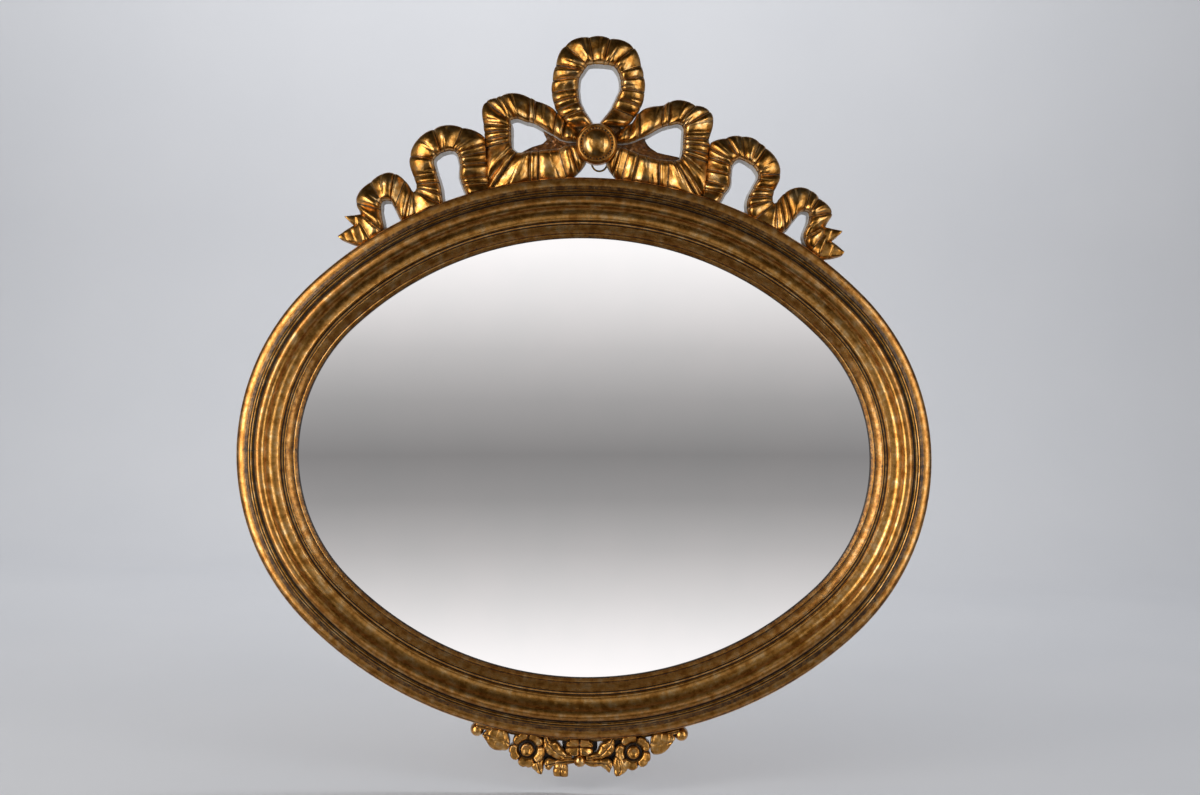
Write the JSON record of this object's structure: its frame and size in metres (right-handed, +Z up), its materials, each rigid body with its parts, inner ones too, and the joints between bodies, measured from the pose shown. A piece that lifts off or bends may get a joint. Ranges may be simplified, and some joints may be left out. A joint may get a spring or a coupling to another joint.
{
  "type": "oval mirror",
  "caption": "Oval wall mirror in a gilded moulded frame, with a pleated ribbon-bow crest, a carved flower garland below and a hanging ring on the back.",
  "frame": {"origin": "on the wall plane, which the frame's back lies on, behind the centre of the oval", "axes": "+X to the right of someone who looks at the mirror, +Y out of the back into the wall, +Z up"},
  "size_m": [0.724, 0.036, 0.7765],
  "materials": {
    "gilded_wood": "carved wood, water gilded and toned dark in the recesses",
    "mirror": "silvered float glass",
    "backing_board": "bare thin board",
    "beech": "bare beech",
    "cork": "cut cork",
    "steel": "dull steel",
    "brass": "aged brass"
  },
  "bodies": {
    "mirror": {"frame_upper_right": "gilded_wood", "frame_upper_left": "gilded_wood", "frame_lower_left": "gilded_wood", "frame_lower_right": "gilded_wood", "joint_tenons": "beech", "mirror_glass": "mirror", "glass_packers": "cork", "back_panel": "backing_board", "panel_brads": "steel", "crest_bow": "gilded_wood", "crest_left_ribbon": "gilded_wood", "crest_right_ribbon": "gilded_wood", "knot_boss": "gilded_wood", "crest_dowels": "beech", "garland": "gilded_wood", "garland_dowels": "beech", "hanger_plate": "brass", "hanger_screws": "steel"},
    "ring": {"hanging_ring": "brass"}
  },
  "joints": [
    {"name": "ring_swing", "type": "hinge", "parent": "mirror", "child": "ring", "pos_m": [0.008, -0.0026, 0.3179], "axis": [1, 0, 0], "range_deg": [-5, 180]}
  ]
}
